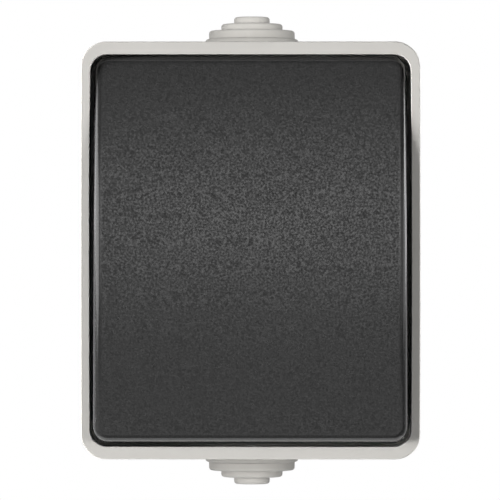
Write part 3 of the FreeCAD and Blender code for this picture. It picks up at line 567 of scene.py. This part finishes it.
def rounded(corners):
    """Polyline whose inner corners are arcs: rows are (radius, height, corner radius).

    Each corner is left out from both its runs by its radius times the tangent of half the turn,
    and the arc between those two points is drawn from the circle's centre."""
    corners = np.asarray(corners, float)
    point, size = corners[:, :2], corners[1:-1, 2]
    arrive = point[1:-1] - point[:-2]
    leave = point[2:] - point[1:-1]
    arrive = arrive / np.linalg.norm(arrive, axis=1, keepdims=True)
    leave = leave / np.linalg.norm(leave, axis=1, keepdims=True)
    side = arrive[:, 0] * leave[:, 1] - arrive[:, 1] * leave[:, 0]
    turn = np.arctan2(side, (arrive * leave).sum(1))
    start = point[1:-1] - arrive * (size * np.tan(np.abs(turn) / 2))[:, None]
    normal = np.stack([-arrive[:, 1], arrive[:, 0]], -1) * np.sign(turn)[:, None]
    centre = start + normal * size[:, None]
    sweep = turn[:, None] * np.linspace(0, 1, CORNER_POINTS)
    spoke = -normal * size[:, None]
    arc_x = centre[:, :1] + spoke[:, :1] * np.cos(sweep) - spoke[:, 1:] * np.sin(sweep)
    arc_y = centre[:, 1:] + spoke[:, :1] * np.sin(sweep) + spoke[:, 1:] * np.cos(sweep)
    arcs = np.stack([arc_x, arc_y], -1).reshape(-1, 2)
    return np.concatenate([point[:1], arcs, point[-1:]])


def turned_piece(profile, foot, sign):
    """Carries a (radius, height) profile round the grommet's axis: x = r cos t, z = r sin t."""
    turn = np.linspace(0, 2 * np.pi, TURN_POINTS, endpoint=False)
    x = profile[:, :1] * np.cos(turn)
    z = profile[:, :1] * np.sin(turn) + ENTRY_Z
    y = sign * (foot + np.broadcast_to(profile[:, 1:], x.shape))
    points = np.stack([x, y, z], -1).reshape(-1, 3)
    return points, outward(points, faces_of_grid(*x.shape)), 0.0


print("a round corner has", CORNER_POINTS, "points, a turn", TURN_POINTS)

# %% Rings, neck and flange of the grommets
RINGS = np.array([(18.7, 2.1), (17.2, 1.7), (12.3, 1.35), (7.15, 1.4)])    # width and height of each
RING_EDGE_R = 0.6
CREASE_R = 0.22          # between one ring and the next
HIDDEN_EDGE_R = 0.3      # edges inside the box
RUBBER_T = 1.2
NECK_R = 7.95            # neck in the base box's hole
FLANGE_R = 9.6           # flange behind its wall
FLANGE_T = 1.6
BASE_WALL = 2.4          # wall of the base box
BASE_INSET = 0.4         # the base box lies this far inside the frame's outline
tops = np.cumsum(RINGS[:, 1])
radii = RINGS[:, 0] / 2
outside = [(0, tops[-1], 0)]
for radius, top, low in zip(radii[::-1], tops[::-1], np.append(tops[-2::-1], 0)):
    outside += [(radius, top, RING_EDGE_R), (radius, low, CREASE_R)]
wall_in = -BASE_WALL
flange_in = wall_in - FLANGE_T
neck_in = NECK_R - RUBBER_T
cone_low = tops[1] - RUBBER_T
cone_high = tops[-1] - RUBBER_T
inside = [(NECK_R, 0, CREASE_R), (NECK_R, wall_in, CREASE_R),
          (FLANGE_R, wall_in, HIDDEN_EDGE_R), (FLANGE_R, flange_in, HIDDEN_EDGE_R),
          (neck_in, flange_in, HIDDEN_EDGE_R), (neck_in, cone_low, HIDDEN_EDGE_R),
          (radii[-2] - RUBBER_T, cone_low, HIDDEN_EDGE_R),
          (radii[-1] - RUBBER_T, cone_high, HIDDEN_EDGE_R), (0, cone_high, 0)]
profile = rounded(outside + inside)
foot = BODY_H / 2 - BASE_INSET
grommets = [make_piece(f"stepped_grommet_{name}", [turned_piece(profile, foot, sign)],
                       "housing", f"grommet_{name}", "grommet_rubber")
            for name, sign in (("top", 1), ("bottom", -1))]

# %% [markdown]
# ## The toggle spring
# A small coil spring in the cradle's stem presses the plunger on the contact blade. One end stays
# with the rocker and the other end follows the plunger, so a stiff piece would run into one of
# them. Here the coil is drawn once, between the plunger and the end of its bore, and is put on no
# body.

# %% Wire carried along a helix
WIRE_R = 0.22
COIL_R = 1.48            # middle of the wire, from the coil's axis
COIL_TURNS = 4
TURN_STEPS = 28
WIRE_POINTS = 12
solid = frame["nodes"]["toggle_spring"].data
spots = np.empty(3 * len(solid.vertices), np.float32)
solid.vertices.foreach_get("co", spots)
back, up = spots.reshape(-1, 3)[:, 1:].T / MM
heights = PIVOT_Z - (back + PIVOT_Z) * math.cos(TILT) + up * math.sin(TILT)    # with the tilt taken out
COIL_LOW = heights.min() + WIRE_R      # middle of the wire at the plunger
COIL_HIGH = heights.max() - WIRE_R     # and at the end of the bore


def coil(low, high):
    """Wire of a helix: at angle a of its circle the wire has radius R + r cos a and height h + r sin a.

    The first and last circle are drawn to their middles, which closes the wire."""
    share = np.linspace(0, 1, COIL_TURNS * TURN_STEPS + 1)
    share = np.concatenate([share[:1], share, share[-1:]])[:, None]
    wire = np.full_like(share, WIRE_R)
    wire[[0, -1]] = 0
    turn = 2 * np.pi * COIL_TURNS * share
    around = np.linspace(0, 2 * np.pi, WIRE_POINTS, endpoint=False)
    reach = COIL_R + wire * np.cos(around)
    height = low + (high - low) * share + wire * np.sin(around)
    points = np.stack([reach * np.cos(turn), reach * np.sin(turn), height], -1).reshape(-1, 3)
    return tilt_in(points), outward(points, faces_of_grid(*reach.shape)), 0.0


coil_spring = make_piece("coil_spring", [coil(COIL_LOW, COIL_HIGH)], None, "toggle_spring", "plated_steel")
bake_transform(coil_spring)
print(f"the coil runs from {COIL_LOW:.2f} to {COIL_HIGH:.2f} mm off the wall, before the tilt")

# %% [markdown]
# ## Finishes from nodes
# Every finish is a Principled BSDF with patterns on Object coordinates, which stay put when the
# piece moves. A few small helpers keep the node trees readable. One adds a node and links or sets
# its inputs, and one gives a noise whose grain is stated in millimetres. The others turn such a
# pattern into a range of values, into tones of a colour, or into relief of a stated height.


# %% Helpers for nodes
def new_finish(name):
    """A material with its node tree and its Principled BSDF."""
    finish = bpy.data.materials.new(name)
    finish.use_nodes = True
    return finish, finish.node_tree, finish.node_tree.nodes["Principled BSDF"]


def fill(tree, node, inputs):
    """Links each input that is given a socket, and sets the others."""
    for key, value in inputs.items():
        if isinstance(value, bpy.types.NodeSocket):
            tree.links.new(value, node.inputs[key])
        else:
            node.inputs[key].default_value = value


def add(tree, kind, inputs, **settings):
    """Adds a node with its settings and its inputs."""
    node = tree.nodes.new(kind)
    for key, value in settings.items():
        setattr(node, key, value)
    fill(tree, node, inputs)
    return node


print("helpers for nodes: new_finish, fill and add")


# %% Helpers for patterns
def grain(tree, size, detail=2.0, roughness=0.5, stretch=(1, 1, 1)):
    """Noise on Object coordinates whose grain is about size millimetres."""
    where = add(tree, "ShaderNodeTexCoord", {}).outputs["Object"]
    placed = add(tree, "ShaderNodeMapping", {"Vector": where, "Scale": stretch}).outputs["Vector"]
    inputs = {"Vector": placed, "Scale": 1 / (size * MM), "Detail": detail, "Roughness": roughness}
    return add(tree, "ShaderNodeTexNoise", inputs).outputs["Fac"]


def between(tree, value, low, high, start=0.3, end=0.7):
    """Maps a pattern from start..end to low..high."""
    inputs = {"Value": value, "From Min": start, "From Max": end, "To Min": low, "To Max": high}
    return add(tree, "ShaderNodeMapRange", inputs).outputs["Result"]


def tones(tree, pattern, colour, dark, light):
    """The colour times a share, which runs from dark to light with a pattern."""
    shades = [(*(share * channel for channel in colour), 1) for share in (dark, light)]
    inputs = {"Factor": pattern, "A": shades[0], "B": shades[1]}
    return add(tree, "ShaderNodeMix", inputs, data_type="RGBA").outputs["Result"]


def relief(tree, pattern, height, strength=1.0, under=None):
    """Bump of a stated height in millimetres, on top of another one if given."""
    inputs = {"Height": pattern, "Distance": height * MM, "Strength": strength}
    if under is not None:
        inputs["Normal"] = under
    return add(tree, "ShaderNodeBump", inputs).outputs["Normal"]


print("helpers for patterns: grain, between, tones and relief")

# %% [markdown]
# ## Light grey housing
# The box and the frame are moulded from a warm light grey plastic with a satin skin. Up close it
# has a faint orange peel and slight clouds in its colour. A clear gloss would look wet, so the
# roughness stays middling and wanders a little.

# %% Satin housing plastic
HOUSING_GREY = (0.600, 0.585, 0.555)
housing_plastic, tree, shader = new_finish("satin_housing_plastic")
clouds = between(tree, grain(tree, size=9.0, detail=3), low=0, high=1)
peel = relief(tree, grain(tree, size=0.55), height=0.006)
fill(tree, shader, {
    "Base Color": tones(tree, clouds, HOUSING_GREY, dark=0.975, light=1.02),
    "Roughness": between(tree, grain(tree, size=1.6, detail=3), low=0.40, high=0.50),
    "Normal": relief(tree, grain(tree, size=0.16), height=0.003, under=peel)})
print("made", housing_plastic.name)

# %% [markdown]
# ## Anthracite rocker
# The face of the rocker comes from a spark-eroded mould: a fine, irregular grain that sparkles
# where the light strikes it, and fades to a polished rounding at the edge. The grains are far
# smaller than the shape, so they belong to the finish. Here they change the shine and the
# roughness, with a weak relief as well. The polish value that the mesh carries switches them off
# towards the edge and makes the edge smoother.

# %% Spark texture with a polished edge
ROCKER_GREY = (0.0300, 0.0300, 0.0300)
EDGE_ROUGHNESS = 0.10
EDGE_SHINE = 0.5         # reflection of a plain plastic


def combined(tree, operation, first, second):
    """What a Math node makes of two values."""
    return add(tree, "ShaderNodeMath", {0: first, 1: second}, operation=operation).outputs["Value"]


def mixed(tree, share, first, second):
    """The first value where the share is 0, the second where it is 1, and a mix between."""
    return add(tree, "ShaderNodeMix", {"Factor": share, "A": first, "B": second}).outputs["Result"]


rocker_plastic, tree, shader = new_finish("spark_textured_anthracite")
polish = add(tree, "ShaderNodeAttribute", {}, attribute_name="polish").outputs["Fac"]
textured = combined(tree, "SUBTRACT", 1.0, polish)
specks = between(tree, grain(tree, size=0.32, detail=1), low=0, high=1, start=0.35, end=0.65)
sparkle = between(tree, grain(tree, size=0.40, detail=1), low=0.15, high=0.85, start=0.35, end=0.65)
pits = between(tree, sparkle, low=0.28, high=0.20, start=0, end=1)
fill(tree, shader, {
    "Base Color": tones(tree, specks, ROCKER_GREY, dark=0.80, light=1.22),
    "Roughness": mixed(tree, polish, pits, EDGE_ROUGHNESS),
    "Specular IOR Level": mixed(tree, polish, sparkle, EDGE_SHINE),
    "Normal": relief(tree, grain(tree, size=0.30, detail=2), height=0.002, strength=textured)})
print("made", rocker_plastic.name)

# %% [markdown]
# ## Rubber
# The grommets are a soft light grey rubber, duller than the box. The hidden gaskets are black.
# Rubber from a mould has a dusty, even skin with very fine pits. One function makes both, because
# only the colour and the strength of the dust differ.


# %% Two rubbers
def rubber(name, colour, spread):
    """Dull rubber whose dust lightens and darkens the colour by the spread."""
    finish, tree, shader = new_finish(name)
    dust = between(tree, grain(tree, size=3.0, detail=4), low=0, high=1)
    fill(tree, shader, {
        "Base Color": tones(tree, dust, colour, dark=1 - spread, light=1 + spread),
        "Roughness": between(tree, grain(tree, size=0.8, detail=3), low=0.60, high=0.74),
        "Specular IOR Level": 0.35,
        "Normal": relief(tree, grain(tree, size=0.22, detail=3), height=0.006)})
    return finish


grommet_rubber = rubber("dusty_grey_rubber", (0.515, 0.500, 0.472), spread=0.03)
seal_rubber = rubber("black_seal_rubber", (0.030, 0.030, 0.030), spread=0.20)
print("made", grommet_rubber.name, "and", seal_rubber.name)

# %% [markdown]
# ## Inside: mouldings and metal
# The mechanism is natural white plastic on a dark insulating block. The terminals are stamped
# brass with lines from rolling, the contacts silver, the screws and plates bright zinc. The shader's
# anisotropy would only smear their highlights, while stretched noise shows the lines themselves.


# %% Finishes of the mechanism
def moulded(name, colour, roughness):
    """Plain moulded plastic with slight clouds and a fine skin."""
    finish, tree, shader = new_finish(name)
    clouds = between(tree, grain(tree, size=4.0, detail=3), low=0, high=1)
    fill(tree, shader, {
        "Base Color": tones(tree, clouds, colour, dark=0.94, light=1.04),
        "Roughness": between(tree, grain(tree, size=1.2), low=roughness - 0.06, high=roughness + 0.06),
        "Normal": relief(tree, grain(tree, size=0.3), height=0.004)})
    return finish


def metal(name, colour, roughness, stretch):
    """Metal with fine lines along the axis on which the stretch is smallest."""
    finish, tree, shader = new_finish(name)
    lines = grain(tree, size=0.9, detail=4, roughness=0.6, stretch=stretch)
    fill(tree, shader, {
        "Metallic": 1.0,
        "Base Color": tones(tree, between(tree, lines, low=0, high=1), colour, dark=0.86, light=1.04),
        "Roughness": between(tree, lines, low=roughness - 0.07, high=roughness + 0.09),
        "Normal": relief(tree, lines, height=0.004)})
    return finish


FINISHES = {
    "housing_grey": housing_plastic,
    "rocker_anthracite": rocker_plastic,
    "grommet_rubber": grommet_rubber,
    "seal_rubber": seal_rubber,
    "mechanism_white": moulded("natural_white_plastic", (0.72, 0.71, 0.67), roughness=0.42),
    "mechanism_dark": moulded("dark_insulating_block", (0.09, 0.09, 0.10), roughness=0.38),
    "terminal_brass": metal("rolled_brass", (0.78, 0.60, 0.28), roughness=0.26, stretch=(1, 1, 0.08)),
    "contact_silver": metal("silver_contact", (0.86, 0.86, 0.84), roughness=0.22, stretch=(1, 1, 1)),
    "plated_steel": metal("bright_zinc_plate", (0.68, 0.69, 0.70), roughness=0.28, stretch=(1, 0.12, 1)),
}
slot_of_node = {part["node"]: part["material_slot"] for part in frame["record"]["subparts"]}
for name, piece in frame["nodes"].items():
    piece.material_slots[0].material = FINISHES[slot_of_node[name]]
new_pieces = [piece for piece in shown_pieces() if "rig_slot" in piece]
for piece in new_pieces:
    piece.data.materials.append(FINISHES[piece["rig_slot"]])
print("finishes given to", len(frame["nodes"]), "solids and", len(new_pieces), "new pieces")

# %% [markdown]
# ## Camera
# The picture is taken straight from the front from about a metre away, a little to the right, so
# the grommets, which lie further back, show slightly to the right. A long lens at that distance
# gives the picture's size of the frame and its small perspective.

# %% A long lens from the front
PICTURE_PX = 500
PX_PER_MM = 5.136        # at the frame's front plane
DISTANCE = 900.0         # mm from the front plane
SIDE_STEP = 9.5          # mm that the camera stands to the right
CENTRE_PX = (250.4, 250.45)    # middle of the frame in the picture
SENSOR_W = 36.0
camera_data = bpy.data.cameras.new("camera")
camera_data.sensor_width = SENSOR_W
camera_data.lens = PX_PER_MM * SENSOR_W / PICTURE_PX * math.hypot(DISTANCE, SIDE_STEP)
camera_data.shift_x = (PICTURE_PX / 2 - CENTRE_PX[0]) / PICTURE_PX
camera_data.shift_y = (CENTRE_PX[1] - PICTURE_PX / 2) / PICTURE_PX
camera = bpy.data.objects.new("camera", camera_data)
camera.location = (SIDE_STEP * MM, -(FRAME_Z + DISTANCE) * MM, 0)
camera.rotation_euler = (math.pi / 2, 0, math.atan2(SIDE_STEP, DISTANCE))
scene.collection.objects.link(camera)
scene.camera = camera
print(f"lens {camera_data.lens:.0f} mm")

# %% [markdown]
# ## Light
# The frame's right bar lies in the rocker's shadow while its left, top and bottom bars are
# bright: so the main light comes from the left and skims the wall, with a weaker one from the
# right. Lamps light the pieces and aren't mirrored, and cards are only mirrored, so that each can
# be set without changing the other. Cards above the camera make the soft band across the rocker's
# face, and cards at the sides draw the bright lines along its polished edges.

# %% Soft boxes
AIM = (0, -0.041, 0)     # metres; all lamps and cards look at this point near the frame's front


def soft_box(name, aim_from, size, radiance, spread=180, card=False):
    """A rectangular lamp or card that looks at AIM: power = radiance * pi * width * height."""
    lamp = bpy.data.lights.new(name, "AREA")
    lamp.shape = "RECTANGLE"
    lamp.size, lamp.size_y = size
    lamp.energy = radiance * math.pi * size[0] * size[1]
    lamp.spread = math.radians(spread)
    holder = bpy.data.objects.new(name, lamp)
    holder.location = aim_from
    away = np.array(AIM) - np.array(aim_from)
    yaw = math.atan2(-away[0], away[1])
    pitch = math.atan2(away[2], math.hypot(away[0], away[1]))
    holder.rotation_euler = (math.pi / 2 + pitch, 0, yaw)
    holder.visible_glossy = card
    holder.visible_diffuse = not card
    holder.visible_camera = False
    scene.collection.objects.link(holder)
    return holder


def from_front(angle, height, reach):
    """A point at that angle from the camera's axis, in degrees, positive to the right."""
    turn = math.radians(angle)
    return (reach * math.sin(turn), AIM[1] - reach * math.cos(turn), height)


print("lamps and cards look at", AIM)

# %% Lamps and cards
SIDE_BOX = {"size": (0.78, 0.90), "spread": 60}    # metres wide and high, and degrees
CARDS = {                # place, width and height in metres, and brightness
    "edge_left": (from_front(-84, 0.135, 0.8), (1.66, 0.165), 4.6),
    "band_left": (from_front(-27, 0.135, 0.9), (0.38, 0.12), 3.2),
    "band_right": (from_front(27, 0.135, 0.9), (0.55, 0.12), 0.8),
    "edge_right": (from_front(84, 0.100, 0.8), (1.20, 0.125), 2.1),
    "line_right": (from_front(76, 0.200, 0.8), (0.20, 0.19), 9.5),
    "rim_right": (from_front(108, 0.12, 0.8), (0.55, 0.19), 3.9),
    "strip_above": ((0.0, -0.95, 0.176), (0.19, 0.115), 2.75),
    "table": ((0, 0.0, -0.45), (0.90, 0.60), 1.2),
    "camera_side": ((0, -0.95, -0.08), (1.2, 0.20), 0.45),
    "ceiling": ((0, -0.20, 0.60), (0.90, 0.60), 1.6),
}
side_lamps = [soft_box("key_left", from_front(-75, -0.12, 2.4), radiance=9.2, **SIDE_BOX),
              soft_box("fill_right", from_front(75, -0.12, 2.4), radiance=3.35, **SIDE_BOX)]
front_lamp = soft_box("front_wash", from_front(-9, 0.08, 1.6), size=(1.6, 0.7), radiance=10.8)
wall_lamps = [soft_box("wall_left", from_front(-80, 0.0, 2.4), radiance=1.7, **SIDE_BOX),
              soft_box("wall_right", from_front(80, 0.0, 2.4), radiance=1.7, **SIDE_BOX)]
for name, (place, size, radiance) in CARDS.items():
    soft_box(name, place, size, radiance, card=True)

# %% [markdown]
# ## Flags
# Light that skims the front strikes the side walls full on and would burn them out. A studio puts
# flags in its way. Light linking does the same: the two side lamps leave out the side walls and the
# grommets, which have lamps of their own.


# %% Flags by light linking
def only_for(lamps, pieces, keep):
    """Flags: the lamps light only these pieces, or all pieces but these."""
    group = bpy.data.collections.new("flagged")
    for piece in pieces:
        group.objects.link(piece)
    for entry in group.collection_objects:
        entry.light_linking.link_state = "INCLUDE" if keep else "EXCLUDE"
    for lamp in lamps:
        lamp.light_linking.receiver_collection = group


walls = [front_sleeve, frame["nodes"]["base_box"]]
only_for(side_lamps, walls + grommets, keep=False)
only_for(wall_lamps, walls, keep=True)
only_for([front_lamp], grommets, keep=True)
print("flagged:", [piece.name for piece in walls + grommets])

# %% [markdown]
# ## Background and floor
# The picture's background is plain white. The world is white to the camera, and to reflections
# that look back past the switch; the light that it sheds is dim in front and stronger behind, as
# in a studio with a white wall. A pale floor well below the switch takes its shadow.

# %% White world
AMBIENT_FRONT = 0.01
AMBIENT_BEHIND = 0.7
world = bpy.data.worlds.new("white_studio")
scene.world = world
world.use_nodes = True
tree = world.node_tree
direction = add(tree, "ShaderNodeTexCoord", {}).outputs["Generated"]
depthwise = add(tree, "ShaderNodeSeparateXYZ", {"Vector": direction}).outputs["Y"]
behind_share = between(tree, depthwise, low=0, high=1, start=-0.25, end=0.35)
ray = add(tree, "ShaderNodeLightPath", {}).outputs
mirror = combined(tree, "MAXIMUM", ray["Is Glossy Ray"], ray["Is Transmission Ray"])
mirrored = combined(tree, "MULTIPLY", mirror, behind_share)
seen = combined(tree, "MAXIMUM", ray["Is Camera Ray"], mirrored)
ambient = between(tree, behind_share, AMBIENT_FRONT, AMBIENT_BEHIND, start=0, end=1)
fill(tree, tree.nodes["Background"], {"Color": (1, 1, 1, 1), "Strength": mixed(tree, seen, ambient, 1.0)})
scene.view_settings.view_transform = "Standard"
print("world light, in front and behind:", AMBIENT_FRONT, AMBIENT_BEHIND)

# %% Pale floor
FLOOR_DROP = 0.90        # metres below the switch
FLOOR_REACH = 0.7        # metres from its middle to its edge
FLOOR_POINTS = 9         # along each edge
floor_z = cad_box[0][2] - FLOOR_DROP
side = np.linspace(-FLOOR_REACH, FLOOR_REACH, FLOOR_POINTS)
x, y = np.meshgrid(side, side)
points = np.stack([x, y, 0 * x + floor_z], -1).reshape(-1, 3)
index = np.arange(FLOOR_POINTS ** 2).reshape(FLOOR_POINTS, FLOOR_POINTS)
faces = np.stack([index[:-1, :-1], index[:-1, 1:], index[1:, 1:], index[1:, :-1]], -1).reshape(-1, 4)
floor_mesh = bpy.data.meshes.new("floor")
floor_mesh.from_pydata(points.tolist(), [], faces.tolist())
floor = bpy.data.objects.new("floor", floor_mesh)
scene.collection.objects.link(floor)
finish, tree, shader = new_finish("pale_floor")
fill(tree, shader, {
    "Base Color": tones(tree, grain(tree, size=60.0), (1, 1, 1), dark=0.86, light=0.90),
    "Roughness": 0.8})
floor_mesh.materials.append(finish)
print(f"floor at {floor_z:.3f} m")
